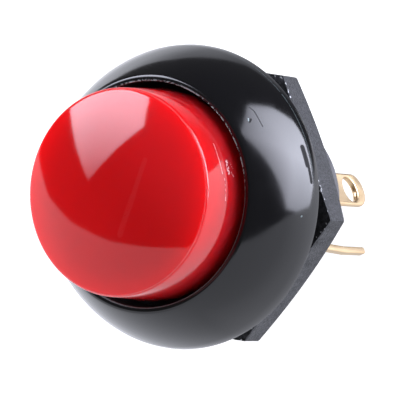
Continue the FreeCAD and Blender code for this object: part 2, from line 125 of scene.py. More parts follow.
def blendColour(tree, factor, first, second):
    node = addNode(tree, "ShaderNodeMix", {"data_type": "RGBA"})
    plug(tree, factor, node.inputs["Factor"])
    for value, label in ((first, "A"), (second, "B")):
        socket = next(item for item in node.inputs if item.name == label and item.type == "RGBA")
        plug(tree, value, socket)
    return next(item for item in node.outputs if item.type == "RGBA")


def noise(tree, place, scale, detail=3.0):
    return addNode(tree, "ShaderNodeTexNoise", Vector=place, Scale=scale, Detail=detail).outputs["Fac"]


def objectPlace(tree):
    return addNode(tree, "ShaderNodeTexCoord").outputs["Object"]


def objectParts(tree):
    return addNode(tree, "ShaderNodeSeparateXYZ", Vector=objectPlace(tree)).outputs


def axisRadius(tree):
    # Distance from the button's axis
    parts = objectParts(tree)
    squares = [calc(tree, "POWER", parts[axis], 2.0) for axis in ("X", "Y")]
    return calc(tree, "SQRT", calc(tree, "ADD", *squares))


def emptyTree(block):
    block.use_nodes = True
    block.node_tree.nodes.clear()
    return block.node_tree


# Shared surface effects

def makeGrainGroup():
    # Fine moulded or sparked skin: a height for bump and a slow mottle for colour and roughness
    group, source, sink = newGroup(
        "mouldedGrain",
        [("Fine", "NodeSocketFloat", 9000.0), ("Broad", "NodeSocketFloat", 600.0)],
        [("Height", "NodeSocketFloat"), ("Mottle", "NodeSocketFloat")],
    )
    place = objectPlace(group)
    group.links.new(noise(group, place, source.outputs["Fine"]), sink.inputs["Height"])
    group.links.new(noise(group, place, source.outputs["Broad"], detail=4.0), sink.inputs["Mottle"])
    return group


def makeSpeckGroup():
    # Scattered dust and pinholes: each cell holds one speck, and only some cells keep theirs
    group, source, sink = newGroup(
        "dustSpecks",
        [
            ("Scale", "NodeSocketFloat", 900.0),
            ("Size", "NodeSocketFloat", 0.08),
            ("Share", "NodeSocketFloat", 0.3),
        ],
        [("Mask", "NodeSocketFloat")],
    )
    cells = addNode(group, "ShaderNodeTexVoronoi", Vector=objectPlace(group), Scale=source.outputs["Scale"])
    spot = calc(group, "LESS_THAN", cells.outputs["Distance"], source.outputs["Size"])
    chance = addNode(group, "ShaderNodeSeparateColor", Color=cells.outputs["Color"]).outputs["Red"]
    kept = calc(group, "LESS_THAN", chance, source.outputs["Share"])
    group.links.new(calc(group, "MULTIPLY", spot, kept), sink.inputs["Mask"])
    return group


def makeRingGroup():
    # Mask of a ring round the axis: near a radius and a height, broken up by noise
    group, source, sink = newGroup(
        "wornRing",
        [
            ("Radius", "NodeSocketFloat", 0.006),
            ("Height", "NodeSocketFloat", 0.0),
            ("Reach", "NodeSocketFloat", 0.0001),
            ("Gaps", "NodeSocketFloat", 0.5),
            ("Scale", "NodeSocketFloat", 1500.0),
        ],
        [("Mask", "NodeSocketFloat")],
    )
    offRadius = calc(group, "SUBTRACT", axisRadius(group), source.outputs["Radius"])
    offHeight = calc(group, "SUBTRACT", objectParts(group)["Z"], source.outputs["Height"])
    squares = [calc(group, "MULTIPLY", off, off) for off in (offRadius, offHeight)]
    distance = calc(group, "SQRT", calc(group, "ADD", *squares))
    near = remap(group, distance, 0.0, source.outputs["Reach"], 1.0, 0.0)
    grain = noise(group, objectPlace(group), source.outputs["Scale"])
    kept = calc(group, "GREATER_THAN", grain, source.outputs["Gaps"])
    group.links.new(calc(group, "MULTIPLY", near, kept), sink.inputs["Mask"])
    return group


def makeStrokeGroup():
    # Mask of a scratch, scuff or pit: near the straight run from Start to End, broken up by noise
    group, source, sink = newGroup(
        "strokeMark",
        [
            ("Start", "NodeSocketVector", (0.0, 0.0, 0.0)),
            ("End", "NodeSocketVector", (0.0, 0.0, 0.001)),
            ("Width", "NodeSocketFloat", 0.0001),
            ("Gaps", "NodeSocketFloat", 0.0),
            ("Scale", "NodeSocketFloat", 5000.0),
        ],
        [("Mask", "NodeSocketFloat")],
    )
    place = objectPlace(group)
    run = vectorMath(group, "SUBTRACT", source.outputs["End"], source.outputs["Start"])
    here = vectorMath(group, "SUBTRACT", place, source.outputs["Start"])
    runSquare = vectorMath(group, "DOT_PRODUCT", run, run)
    share = calc(group, "DIVIDE", vectorMath(group, "DOT_PRODUCT", here, run), runSquare)
    share = calc(group, "MINIMUM", calc(group, "MAXIMUM", share, 0.0), 1.0)
    nearest = vectorMath(group, "SCALE", run, share)
    away = vectorMath(group, "LENGTH", vectorMath(group, "SUBTRACT", here, nearest))
    # Full strength out to half the width, then fading
    near = remap(group, calc(group, "DIVIDE", away, source.outputs["Width"]), 0.5, 1.0, 1.0, 0.0)
    kept = calc(group, "GREATER_THAN", noise(group, place, source.outputs["Scale"]), source.outputs["Gaps"])
    group.links.new(calc(group, "MULTIPLY", near, kept), sink.inputs["Mask"])
    return group


grainGroup = makeGrainGroup()
speckGroup = makeSpeckGroup()
ringGroup = makeRingGroup()
strokeGroup = makeStrokeGroup()
mottleSpan = (0.3, 0.7)  # the part of the noise's range that colours and roughness spread over
print("effects made:", len(bpy.data.node_groups))


def newMaterial(name, **sockets):
    material = bpy.data.materials.new(name)
    material.use_nodes = True
    tree = material.node_tree
    shader = next(node for node in tree.nodes if node.type == "BSDF_PRINCIPLED")
    for key, value in sockets.items():
        shader.inputs[key.replace("_", " ")].default_value = value
    return material, tree, shader


def addBump(tree, shader, height, strength, depth):
    bump = addNode(tree, "ShaderNodeBump", Strength=strength, Distance=depth * mm, Height=height)
    tree.links.new(bump.outputs["Normal"], shader.inputs["Normal"])


def strokes(tree, marks):
    # Strongest of several strokes, each given as start, end, width, gaps and strength, in millimetres
    mask = 0.0
    for start, end, width, gaps, strength in marks:
        mark = placeGroup(
            tree, strokeGroup, Start=metres(start), End=metres(end), Width=width * mm, Gaps=gaps,
        )["Mask"]
        mask = calc(tree, "MAXIMUM", calc(tree, "MULTIPLY", mark, strength), mask)
    return mask


def grainAndDust(tree, look):
    # The skin's grain, a mask of its dust, and the height of both for bump
    grain = placeGroup(tree, grainGroup, **look["grain"])
    specks = placeGroup(tree, speckGroup, **look["specks"])["Mask"]
    dust = calc(tree, "MULTIPLY", specks, look["speckStrength"])
    relief = calc(tree, "SUBTRACT", calc(tree, "MULTIPLY", grain["Height"], look["grainHeight"]), specks)
    return grain, dust, relief


# Finishes

bezelLook = {
    "black": rgb(0.0035, 0.0035, 0.0045),
    "scuffed": rgb(0.46, 0.59, 0.60),
    "ior": 1.5,
    "gloss": (0.10, 0.15),
    "grain": {"Fine": 2600.0, "Broad": 500.0},
    "grainHeight": 0.05,
    "specks": {"Scale": 420.0, "Size": 0.045, "Share": 0.35},
    "speckStrength": 0.3,
    "bumpStrength": 0.25,
    "bumpDepth": 0.02,
    # Worn lines as radius, height, reach, gaps, strength and the side, +Y or -Y, that has them
    "rings": [
        (6.60, 4.47, 0.10, 0.50, 1.0, 1),
        (6.59, 4.47, 0.08, 0.30, 0.45, -1),
        (8.95, 0.52, 0.06, 0.40, 0.12, 1),
    ],
    "ringSplit": (-3.0, -1.0),
    "ringGrain": 7000.0,
    "wornRough": 0.5,
    "matte": [
        ((7.47, 2.46, 3.16), (7.63, 2.15, 3.04), 0.04, 0.30, 0.9),
        ((7.63, 2.15, 3.04), (7.84, 1.12, 3.05), 0.05, 0.30, 0.9),
        ((7.48, 1.69, 3.46), (7.42, 1.54, 3.60), 0.08, 0.0, 1.2),
        ((8.81, -0.48, 0.98), (8.72, -1.52, 0.89), 0.24, 0.0, 1.2),
        ((8.79, -1.11, 0.87), (8.54, -2.50, 0.73), 0.15, 0.0, 1.2),
    ],
    "matteRough": 0.7,
    "flecks": [
        ((7.39, 1.76, 3.57), (7.39, 1.62, 3.62), 0.05, 0.0, 0.6),
        ((7.56, -4.28, 1.40), (7.59, -4.25, 1.37), 0.06, 0.0, 0.35),
    ],
    # The moulded wall inside the opening isn't polished
    "boreRadii": (6.57, 6.59),
    "boreRough": 0.75,
}


def makeBezelBlack():
    look = bezelLook
    material, tree, shader = newMaterial("bezelBlack", IOR=look["ior"])
    grain, dust, relief = grainAndDust(tree, look)
    worn = calc(tree, "MAXIMUM", dust, strokes(tree, look["flecks"]))
    along = objectParts(tree)["Y"]
    for radius, height, reach, gaps, strength, side in look["rings"]:
        ring = placeGroup(
            tree, ringGroup, Radius=radius * mm, Height=height * mm, Reach=reach * mm, Gaps=gaps,
            Scale=look["ringGrain"],
        )["Mask"]
        ends = (0.0, strength) if side > 0 else (strength, 0.0)
        share = remap(tree, along, *metres(look["ringSplit"]), *ends)
        worn = calc(tree, "MAXIMUM", worn, calc(tree, "MULTIPLY", ring, share))
    tree.links.new(blendColour(tree, worn, look["black"], look["scuffed"]), shader.inputs["Base Color"])
    rough = remap(tree, grain["Mottle"], *mottleSpan, *look["gloss"])
    bore = remap(tree, axisRadius(tree), *metres(look["boreRadii"]), look["boreRough"], 0.0)
    matte = calc(tree, "MULTIPLY", strokes(tree, look["matte"]), look["matteRough"])
    for dull in (bore, matte, calc(tree, "MULTIPLY", worn, look["wornRough"])):
        rough = calc(tree, "MAXIMUM", rough, dull)
    tree.links.new(rough, shader.inputs["Roughness"])
    addBump(tree, shader, relief, look["bumpStrength"], look["bumpDepth"])
    return material


capLook = {
    "red": rgb(0.60, 0.001, 0.003),
    "deepRed": rgb(0.54, 0.001, 0.003),
    "pale": rgb(0.85, 0.42, 0.43),
    "ior": 1.5,
    "scatterDepth": 7.0,
    "scatterTint": (1.0, 0.1, 0.1),
    "gloss": (0.05, 0.08),
    "grain": {"Fine": 2200.0, "Broad": 220.0},
    "grainHeight": 0.03,
    "specks": {"Scale": 330.0, "Size": 0.035, "Share": 0.3},
    "speckStrength": 0.5,
    "bumpStrength": 0.2,
    "bumpDepth": 0.02,
    # Painted shade: the red is deeper low on the wall, where the gap under the bezel's lip is in shade
    "paintedShadeRed": rgb(0.24, 0.016, 0.020),
    "paintedShadeHeights": (4.3, 7.7),
    "paintedShadeShare": 0.52,
    # Painted glow: emission on the side towards the right-hand soft box, strongest high on the wall, stands
    # in for light carried through the shell
    "glow": rgb(0.20, 0.009, 0.014),
    "paintedGlowSide": (0.95, 0.31, 0.0),
    "paintedGlowReach": 5.5,
    "paintedGlowHeights": (5.0, 7.5),
    "paintedGlowShare": 0.6,
    "scuffs": [
        ((6.05, 0.64, 6.05), (6.07, -0.29, 6.08), 0.05, 0.40, 0.5),
        ((6.07, -0.29, 6.08), (5.97, -1.17, 5.99), 0.05, 0.40, 0.6),
        ((6.10, -0.45, 5.31), (6.02, -1.10, 5.34), 0.16, 0.47, 0.8),
        ((6.11, -0.56, 4.94), (6.08, -0.85, 4.84), 0.06, 0.46, 0.5),
        ((6.03, -1.09, 5.02), (6.00, -1.31, 4.87), 0.06, 0.46, 0.5),
        ((5.92, -1.45, 5.84), (5.50, -2.62, 5.77), 0.05, 0.50, 0.4),
    ],
    "scuffRough": 0.35,
    "edgeLine": {"Radius": 5.95 * mm, "Height": 7.72 * mm, "Reach": 0.09 * mm, "Gaps": 0.25, "Scale": 900.0},
    "edgeStrength": 0.3,
    "flowLine": [
        ((2.82, 0.81, 8.47), (1.49, -0.81, 8.62), 0.20, 0.30, 0.018),
        ((1.49, -0.81, 8.62), (-0.18, -2.56, 8.52), 0.24, 0.34, 0.018),
    ],
}


def makeCapRed():
    look = capLook
    material, tree, shader = newMaterial(
        "capRed", IOR=look["ior"], Subsurface_Weight=1.0, Subsurface_Scale=look["scatterDepth"] * mm,
        Subsurface_Radius=look["scatterTint"], Emission_Strength=1.0,
    )
    grain, dust, relief = grainAndDust(tree, look)
    height = objectParts(tree)["Z"]
    skin = blendColour(tree, grain["Mottle"], look["deepRed"], look["red"])
    # Painted shade: the skin darkens towards the foot of the wall
    paintedShade = remap(tree, height, *metres(look["paintedShadeHeights"]), look["paintedShadeShare"], 0.0)
    skin = blendColour(tree, paintedShade, skin, look["paintedShadeRed"])
    worn = calc(tree, "MAXIMUM", dust, strokes(tree, look["scuffs"]))
    pale = calc(tree, "MAXIMUM", worn, strokes(tree, look["flowLine"]))
    edge = placeGroup(tree, ringGroup, **look["edgeLine"])["Mask"]
    pale = calc(tree, "MAXIMUM", pale, calc(tree, "MULTIPLY", edge, look["edgeStrength"]))
    tree.links.new(blendColour(tree, pale, skin, look["pale"]), shader.inputs["Base Color"])
    # Painted glow: emission on the side towards the right-hand soft box, high on the wall
    side = vectorMath(tree, "DOT_PRODUCT", objectPlace(tree), look["paintedGlowSide"])
    across = remap(tree, side, 0.0, look["paintedGlowReach"] * mm)
    upper = remap(tree, height, *metres(look["paintedGlowHeights"]), 0.0, look["paintedGlowShare"])
    paintedGlowMask = calc(tree, "MULTIPLY", across, upper)
    tree.links.new(blendColour(tree, paintedGlowMask, rgb(0, 0, 0), look["glow"]), shader.inputs["Emission Color"])
    gloss = remap(tree, grain["Mottle"], *mottleSpan, *look["gloss"])
    dull = calc(tree, "MULTIPLY", worn, look["scuffRough"])
    tree.links.new(calc(tree, "MAXIMUM", gloss, dull), shader.inputs["Roughness"])
    addBump(tree, shader, relief, look["bumpStrength"], look["bumpDepth"])
    return material


nutLook = {
    "dark": rgb(0.018, 0.0185, 0.021),
    "light": rgb(0.042, 0.043, 0.048),
    "burr": rgb(0.55, 0.56, 0.58),
    "ior": 1.36,
    "rough": (0.42, 0.62),
    "grain": {"Fine": 9000.0, "Broad": 6000.0},
    "mottleSpan": (0.35, 0.65),
    "bumpStrength": 1.0,
    "bumpDepth": 0.06,
    # Burrs stay on the front edge, where the flats meet the clamping face
    "burrs": {"Scale": 5600.0, "Size": 0.40, "Share": 0.30},
    "burrReach": (7.68, 7.76),
    "burrHeights": (-1.60, -1.50),
}


def makeNutGrey():
    look = nutLook
    material, tree, shader = newMaterial("nutGrey", IOR=look["ior"])
    grain = placeGroup(tree, grainGroup, **look["grain"])
    burrs = placeGroup(tree, speckGroup, **look["burrs"])["Mask"]
    tone = remap(tree, grain["Mottle"], *look["mottleSpan"])
    skin = blendColour(tree, tone, look["dark"], look["light"])
    front = remap(tree, objectParts(tree)["Z"], *metres(look["burrHeights"]))
    place = objectPlace(tree)
    reach = 0.0
    for turn in (math.radians(degrees) for degrees in (0, 60, 120)):
        along = vectorMath(tree, "DOT_PRODUCT", place, (math.cos(turn), math.sin(turn), 0.0))
        reach = calc(tree, "MAXIMUM", calc(tree, "ABSOLUTE", along), reach)
    edge = calc(tree, "MULTIPLY", front, remap(tree, reach, *metres(look["burrReach"])))
    worn = calc(tree, "MULTIPLY", burrs, edge)
    tree.links.new(blendColour(tree, worn, skin, look["burr"]), shader.inputs["Base Color"])
    rough = remap(tree, grain["Height"], *mottleSpan, *look["rough"])
    tree.links.new(rough, shader.inputs["Roughness"])
    addBump(tree, shader, grain["Height"], look["bumpStrength"], look["bumpDepth"])
    return material


# Plated sheet and wire, with drawing lines that stretch makes longer along an axis

plateGrain = {"Fine": 7000.0, "Broad": 900.0}
drawnLines = {"scale": 3500.0, "share": 0.4, "mottleShare": 0.6, "span": (0.25, 0.75)}
drawnBump = {"strength": 0.15, "depth": 0.01}
plateLooks = {
    "goldPlate": {
        "dark": rgb(0.62, 0.44, 0.25), "light": rgb(0.72, 0.55, 0.34), "rough": (0.28, 0.36),
        "stretch": (1.0, 1.0, 0.12),
    },
    "springSteel": {
        "dark": rgb(0.42, 0.42, 0.43), "light": rgb(0.66, 0.66, 0.67), "rough": (0.2, 0.35),
        "stretch": (1.0, 1.0, 1.0),
    },
    "contactSilver": {
        "dark": rgb(0.66, 0.64, 0.60), "light": rgb(0.88, 0.87, 0.84), "rough": (0.15, 0.3),
        "stretch": (1.0, 1.0, 1.0),
    },
}


def makePlate(name, look):
    material, tree, shader = newMaterial(name, Metallic=1.0)
    stretched = addNode(tree, "ShaderNodeMapping", Vector=objectPlace(tree), Scale=look["stretch"])
    drawn = noise(tree, stretched.outputs[0], drawnLines["scale"])
    grain = placeGroup(tree, grainGroup, **plateGrain)
    mottle = calc(tree, "MULTIPLY", grain["Mottle"], drawnLines["mottleShare"])
    tone = calc(tree, "MULTIPLY_ADD", drawn, drawnLines["share"], mottle)
    skin = blendColour(tree, remap(tree, tone, *drawnLines["span"]), look["dark"], look["light"])
    tree.links.new(skin, shader.inputs["Base Color"])
    tree.links.new(remap(tree, tone, *mottleSpan, *look["rough"]), shader.inputs["Roughness"])
    addBump(tree, shader, drawn, **drawnBump)
    return material


# Plain mouldings, rubber and resin

broadRatio = 5  # a mottle is this many times coarser than the grain
plasticBumpDepth = 0.02
plasticLooks = {
    "sealRubber": {
        "dark": rgb(0.012, 0.012, 0.012), "light": rgb(0.026, 0.026, 0.026), "rough": (0.55, 0.75),
        "fine": 6000.0, "bump": 0.3,
    },
    "baseGrey": {
        "dark": rgb(0.045, 0.045, 0.05), "light": rgb(0.085, 0.085, 0.095), "rough": (0.45, 0.6),
        "fine": 5200.0, "bump": 0.4,
    },
    "resinBlack": {
        "dark": rgb(0.010, 0.010, 0.011), "light": rgb(0.022, 0.022, 0.024), "rough": (0.08, 0.2),
        "fine": 1400.0, "bump": 0.12,
    },
    "plungerWhite": {
        "dark": rgb(0.72, 0.72, 0.69), "light": rgb(0.82, 0.82, 0.80), "rough": (0.35, 0.5),
        "fine": 4200.0, "bump": 0.1,
    },
    "diffuserMilk": {
        "dark": rgb(0.78, 0.78, 0.76), "light": rgb(0.88, 0.88, 0.86), "rough": (0.45, 0.6),
        "fine": 3800.0, "bump": 0.1,
    },
    "lampEpoxy": {
        "dark": rgb(0.50, 0.02, 0.02), "light": rgb(0.66, 0.04, 0.04), "rough": (0.04, 0.09),
        "fine": 1800.0, "bump": 0.04, "sockets": {"Transmission_Weight": 0.5, "IOR": 1.52},
    },
}


def makePlainPlastic(name, look):
    material, tree, shader = newMaterial(name, **look.get("sockets", {}))
    grain = placeGroup(tree, grainGroup, Fine=look["fine"], Broad=look["fine"] / broadRatio)
    skin = blendColour(tree, remap(tree, grain["Mottle"], *mottleSpan), look["dark"], look["light"])
    tree.links.new(skin, shader.inputs["Base Color"])
    tree.links.new(remap(tree, grain["Mottle"], *mottleSpan, *look["rough"]), shader.inputs["Roughness"])
    addBump(tree, shader, grain["Height"], look["bump"], plasticBumpDepth)
    return material


bezelBlack = makeBezelBlack()
capRed = makeCapRed()
nutGrey = makeNutGrey()
plates = {name: makePlate(name, look) for name, look in plateLooks.items()}
plastics = {name: makePlainPlastic(name, look) for name, look in plasticLooks.items()}
print("materials made:", len(bpy.data.materials))


# Mesh helpers

mergeDistance = 1e-7
roundSegments = 6
threadSteps = 64


def addObject(name, bm, material):
    mesh = bpy.data.meshes.new(name)
    bm.to_mesh(mesh)
    bm.free()
    mesh.materials.append(material)
    item = bpy.data.objects.new(name, mesh)
    bpy.context.scene.collection.objects.link(item)
    return item


def finishPiece(name, bm, material, body, slotName, *nodes, creaseDeg=38):
    piece = addObject(name, bm, material)
    piece.data.shade_smooth()
    piece.data.set_sharp_from_angle(angle=math.radians(creaseDeg))
    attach(piece, body)
    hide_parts(*nodes)
    print(name, "made with", len(piece.data.polygons), "faces")
    return piece


def closeUp(bm):
    bmesh.ops.remove_doubles(bm, verts=bm.verts, dist=mergeDistance)
    bmesh.ops.recalc_face_normals(bm, faces=bm.faces)


def bowed(start, end, rise, cuts):
    # Points between two corners of a profile, bulging to the right of travel by rise
    across, up = end[0] - start[0], end[1] - start[1]
    length = math.hypot(across, up)
    points = []
    for step in range(1, cuts + 1):
        share = step / (cuts + 1)
        lift = rise * 4 * share * (1 - share) / length
        points.append((start[0] + across * share + up * lift, start[1] + up * share - across * lift))
    return points


def lathe(bm, corners, rounds, steps):
    # Profile in millimetres, its listed corners rounded, spun about the button's axis
    verts = [bm.verts.new((radius * mm, 0, height * mm)) for radius, height in corners]
    for index, vert in enumerate(verts):
        bm.edges.new((vert, verts[(index + 1) % len(verts)]))
    for index, size in rounds.items():
        bmesh.ops.bevel(
            bm, geom=[verts[index]], offset=size * mm, offset_type="OFFSET", affect="VERTICES",
            segments=roundSegments, profile=0.5, material=-1,
        )
    bmesh.ops.spin(
        bm, geom=bm.verts[:] + bm.edges[:], cent=(0, 0, 0), axis=zAxis,
        angle=fullTurn, steps=steps, use_merge=True,
    )


def helix(bm, section, pitch, turns, stepsPerTurn):
    # Closed section of (radius, height) points carried up a screw line, with its two ends closed
    verts = [bm.verts.new((radius * mm, 0, height * mm)) for radius, height in section]
    edges = [bm.edges.new((vert, verts[(index + 1) % len(verts)])) for index, vert in enumerate(verts)]
    swept = bmesh.ops.spin(
        bm, geom=verts + edges, cent=(0, 0, 0), axis=zAxis, dvec=(0, 0, pitch * mm / stepsPerTurn),
        angle=fullTurn * turns, steps=round(turns * stepsPerTurn),
    )["geom_last"]
    lastEdges = [item for item in swept if isinstance(item, bmesh.types.BMEdge)]
    bmesh.ops.holes_fill(bm, edges=edges + lastEdges, sides=len(section))
    return verts, [item for item in swept if isinstance(item, bmesh.types.BMVert)]


# Bezel and threaded bushing

bezel = {
    "rim": 9.0, "footRound": 0.08, "rimTop": 8.95, "rimHeight": 0.55, "rimRound": 0.30,
    "domeRise": 0.25, "domeCuts": 10, "lip": 6.90, "top": 4.50, "lipRound": 0.10,
    "opening": 6.57, "openingRound": 0.08, "shelfTop": 1.4, "shelfBottom": 0.5, "shelfHole": 4.95,
    "shelfRound": 0.08, "bore": 5.5, "rear": -7.0, "steps": 224,
    "threadCrest": 6.49, "threadRoot": 6.05, "threadPitch": 1.0, "crestFlat": 0.22, "rootFlat": 0.2,
    "threadLow": -6.5, "threadTurns": 5.6, "threadEnd": -0.55, "neckSlope": 0.2, "threadSink": 0.03,
    # The thread's ends are drawn in: what stands over the root by more than crestFloor goes to endHeight
    "crestFloor": 0.1, "endHeight": 0.02,
}


def makeBezel():
    b = bezel
    bm = bmesh.new()
    rimFoot, rimEdge, lip = (b["rim"], 0.0), (b["rimTop"], b["rimHeight"]), (b["lip"], b["top"])
    corners = [
        (b["bore"], b["rear"]),
        (b["threadRoot"], b["rear"]),
        (b["threadRoot"], b["threadEnd"] - b["neckSlope"]),
        (b["threadCrest"], b["threadEnd"]),
        (b["threadCrest"], 0.0),
        rimFoot,
        rimEdge,
        *bowed(rimEdge, lip, b["domeRise"], b["domeCuts"]),
        lip,
        (b["opening"], b["top"]),
        (b["opening"], b["shelfTop"]),
        (b["shelfHole"], b["shelfTop"]),
        (b["shelfHole"], b["shelfBottom"]),
        (b["bore"], b["shelfBottom"]),
    ]
    rounds = {
        corners.index(rimFoot): b["footRound"],
        corners.index(rimEdge): b["rimRound"],
        corners.index(lip): b["lipRound"],
        corners.index((b["opening"], b["top"])): b["openingRound"],
        corners.index((b["shelfHole"], b["shelfTop"])): b["shelfRound"],
    }
    lathe(bm, corners, rounds, b["steps"])
    crest, foot = b["crestFlat"] / 2, (b["threadPitch"] - b["rootFlat"]) / 2
    section = [
        (b["threadRoot"] - b["threadSink"], b["threadLow"] - foot),
        (b["threadCrest"], b["threadLow"] - crest),
        (b["threadCrest"], b["threadLow"] + crest),
        (b["threadRoot"] - b["threadSink"], b["threadLow"] + foot),
    ]
    for end in helix(bm, section, b["threadPitch"], b["threadTurns"], threadSteps):
        for vert in end:
            radius = math.hypot(vert.co.x, vert.co.y)
            if radius > (b["threadRoot"] + b["crestFloor"]) * mm:
                shrink = (b["threadRoot"] + b["endHeight"]) * mm / radius
                vert.co.x *= shrink
                vert.co.y *= shrink
    closeUp(bm)
    finishPiece("bezelBody", bm, bezelBlack, "housing", "bezel_black", "bezel_bushing")


makeBezel()


# Hex nut

nut = {
    "flat": 7.9, "corner": 9.10, "front": -1.4, "back": -3.7, "segments": 480, "creaseDeg": 30,
    "toothDepth": 0.09, "toothInner": 7.1, "toothMargin": 0.12, "toothRows": 5,
    # The front edge: a ragged lip of flash a little proud of the flats
    "edgeInset": 0.03, "edgeDrop": 0.02, "lipTop": 0.08, "lipDepth": 0.24, "lipSlope": 0.04, "lipStep": 0.02,
    "burr": 0.05, "seed": 7,
    "chamferStart": 7.85, "chamferDeg": 24, "chamferEase": 0.05, "backInset": 0.08,
    "bore": 6.95, "frontCountersink": 0.15, "backCountersink": (0.3, 0.25),
    "threadCrest": 6.57, "threadSink": 0.03, "threadFoot": 0.3, "threadFlat": 0.06, "threadTurns": 2.0,
    "threadStart": 0.5,
}


def hexReach(angle):
    # Distance from the axis to the hexagon, whose corners are at 30 degrees and every 60 after, cut off round
    turn = math.remainder(angle, math.radians(60))
    return min(nut["flat"] / math.cos(turn), nut["corner"])


def makeNut():
    n = nut
    front, back, side = n["front"], n["back"], n["lipStep"]
    rand = random.Random(n["seed"])
    bm = bmesh.new()
    ring = bmesh.ops.create_circle(bm, segments=n["segments"], radius=n["bore"] * mm)["verts"]
    flash = [rand.random() ** 3 * n["burr"] for _ in ring]
    slope = math.tan(math.radians(n["chamferDeg"]))

    def pebble(row):
        # Checkered bumps on the clamping face, each row half a step on
        share = row / n["toothRows"]
        return lambda reach, index: (
            n["toothInner"] + (reach - n["toothMargin"] - n["toothInner"]) * share,
            front - n["toothDepth"] * ((index // 2 + row) % 2),
        )

    def chamfer(reach):
        return max(0.0, reach - n["chamferStart"]) * slope

    # Radius and height of each row of the skin, from the bore out over the front, down the flats and back in
    flareOut, flareUp = n["backCountersink"]
    rows = [
        lambda reach, index: (n["bore"], front - n["frontCountersink"]),
        *[pebble(row) for row in range(n["toothRows"] + 1)],
        lambda reach, index: (reach - n["edgeInset"], front - n["edgeDrop"]),
        lambda reach, index: (reach - flash[index], front - n["lipTop"]),
        lambda reach, index: (reach - flash[index - 1], front - n["lipDepth"]),
        lambda reach, index: (reach - side, front - n["lipDepth"] - n["lipSlope"]),
        lambda reach, index: (reach - side, back + chamfer(reach) + n["chamferEase"]),
        lambda reach, index: (reach - side - n["chamferEase"], back + chamfer(reach)),
        lambda reach, index: (min(reach - side - n["backInset"], n["chamferStart"] - n["chamferEase"]), back),
        lambda reach, index: (n["bore"] + flareOut, back),
        lambda reach, index: (n["bore"], back + flareUp),
    ]
    for vert in ring:
        vert.co.z = rows[0](0, 0)[1] * mm
    firstEdges = list({edge for vert in ring for edge in vert.link_edges})
    edges = firstEdges
    for row in rows[1:]:
        grown = bmesh.ops.extrude_edge_only(bm, edges=edges)["geom"]
        edges = [item for item in grown if isinstance(item, bmesh.types.BMEdge)]
        for vert in (item for item in grown if isinstance(item, bmesh.types.BMVert)):
            angle = math.atan2(vert.co.y, vert.co.x)
            index = round((angle + math.pi) / fullTurn * n["segments"]) % n["segments"]
            radius, height = row(hexReach(angle), index)
            vert.co = Vector((math.cos(angle) * radius, math.sin(angle) * radius, height)) * mm
        edges = [edge for edge in edges if len(edge.link_faces) == 1]
    bmesh.ops.bridge_loops(bm, edges=firstEdges + edges)
    low, root = back + n["threadStart"], n["bore"] + n["threadSink"]
    section = [
        (root, low - n["threadFoot"]),
        (root, low + n["threadFoot"]),
        (n["threadCrest"], low + n["threadFlat"]),
        (n["threadCrest"], low - n["threadFlat"]),
    ]
    helix(bm, section, bezel["threadPitch"], n["threadTurns"], threadSteps)
    closeUp(bm)
    finishPiece("panelNut", bm, nutGrey, "nut", "nut_grey", "hex_nut", creaseDeg=n["creaseDeg"])


makeNut()


# Button cap

cap = {
    "radius": 6.0, "flare": 0.22, "inner": 4.9, "skirt": 3.2, "skirtRound": 0.16,
    "edge": 7.7, "edgeRound": 0.2, "crown": 1.0, "crownCuts": 26,
    "roof": 7.45, "roofEdge": 6.65, "roofBow": -0.05, "roofCuts": 6, "steps": 192, "creaseDeg": 50,
}


def makeCap():
    c = cap
    bm = bmesh.new()
    # The wall leans in a little towards the top, as a moulding's does
    skirtCorner, topCorner = (c["radius"] + c["flare"], c["skirt"]), (c["radius"], c["edge"])
    corners = [(c["inner"], c["skirt"]), skirtCorner, topCorner]
    crownTop = c["edge"] + c["crown"]
    crownRadius = (c["radius"] ** 2 + c["crown"] ** 2) / (2 * c["crown"])
    spread = math.asin(c["radius"] / crownRadius)
    for step in range(1, c["crownCuts"] + 1):
        angle = spread * (1 - step / c["crownCuts"])
        corners.append((crownRadius * math.sin(angle), crownTop - crownRadius * (1 - math.cos(angle))))
    roof, roofEdge = (0.0, c["roof"]), (c["inner"], c["roofEdge"])
    corners += [roof, *bowed(roof, roofEdge, c["roofBow"], c["roofCuts"]), roofEdge]
    rounds = {corners.index(skirtCorner): c["skirtRound"], corners.index(topCorner): c["edgeRound"]}
    lathe(bm, corners, rounds, c["steps"])
    closeUp(bm)
    finishPiece("redCap", bm, capRed, "button", "cap_red", "button_cap", creaseDeg=c["creaseDeg"])


makeCap()


# Springs, wound from round wire

springs = {
    "return_spring": {
        "radius": 2.5, "wire": 0.36, "low": -4.15, "high": 2.2, "turns": 7, "body": "housing",
        "joint": "button_press", "anchor": -4.15, "travel": 1.6,
    },
    "contact_spring": {
        "radius": 3.5, "wire": 0.3, "low": -2.58, "high": 2.2, "turns": 5, "body": "button",
        "joint": "contact_lost_motion", "anchor": 2.2, "travel": 0.4,
    },
}
wireSides = 12
wireSteps = 48


def makeSpring(node, s):
    bm = bmesh.new()
    half = s["wire"] / 2
    section = []
    for side in range(wireSides):
        angle = fullTurn * side / wireSides
        section.append((s["radius"] + half * math.cos(angle), s["low"] + half + half * math.sin(angle)))
    tall = s["high"] - s["low"]
    helix(bm, section, (tall - s["wire"]) / s["turns"], s["turns"], wireSteps)
    closeUp(bm)
    piece = finishPiece(node + "_wire", bm, plates["springSteel"], s["body"], "spring_steel", node)
    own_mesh(piece)


for node, spring in springs.items():
    makeSpring(node, spring)


# Lugs and pins: the CAD shapes with their stamped edges eased

easing = {"terminal_common": 0.13, "terminal_open": 0.13, "led_anode_lead": 0.07, "led_cathode_lead": 0.07}
easingSegments = 3
flatDeg = 1
sharpDeg = 40


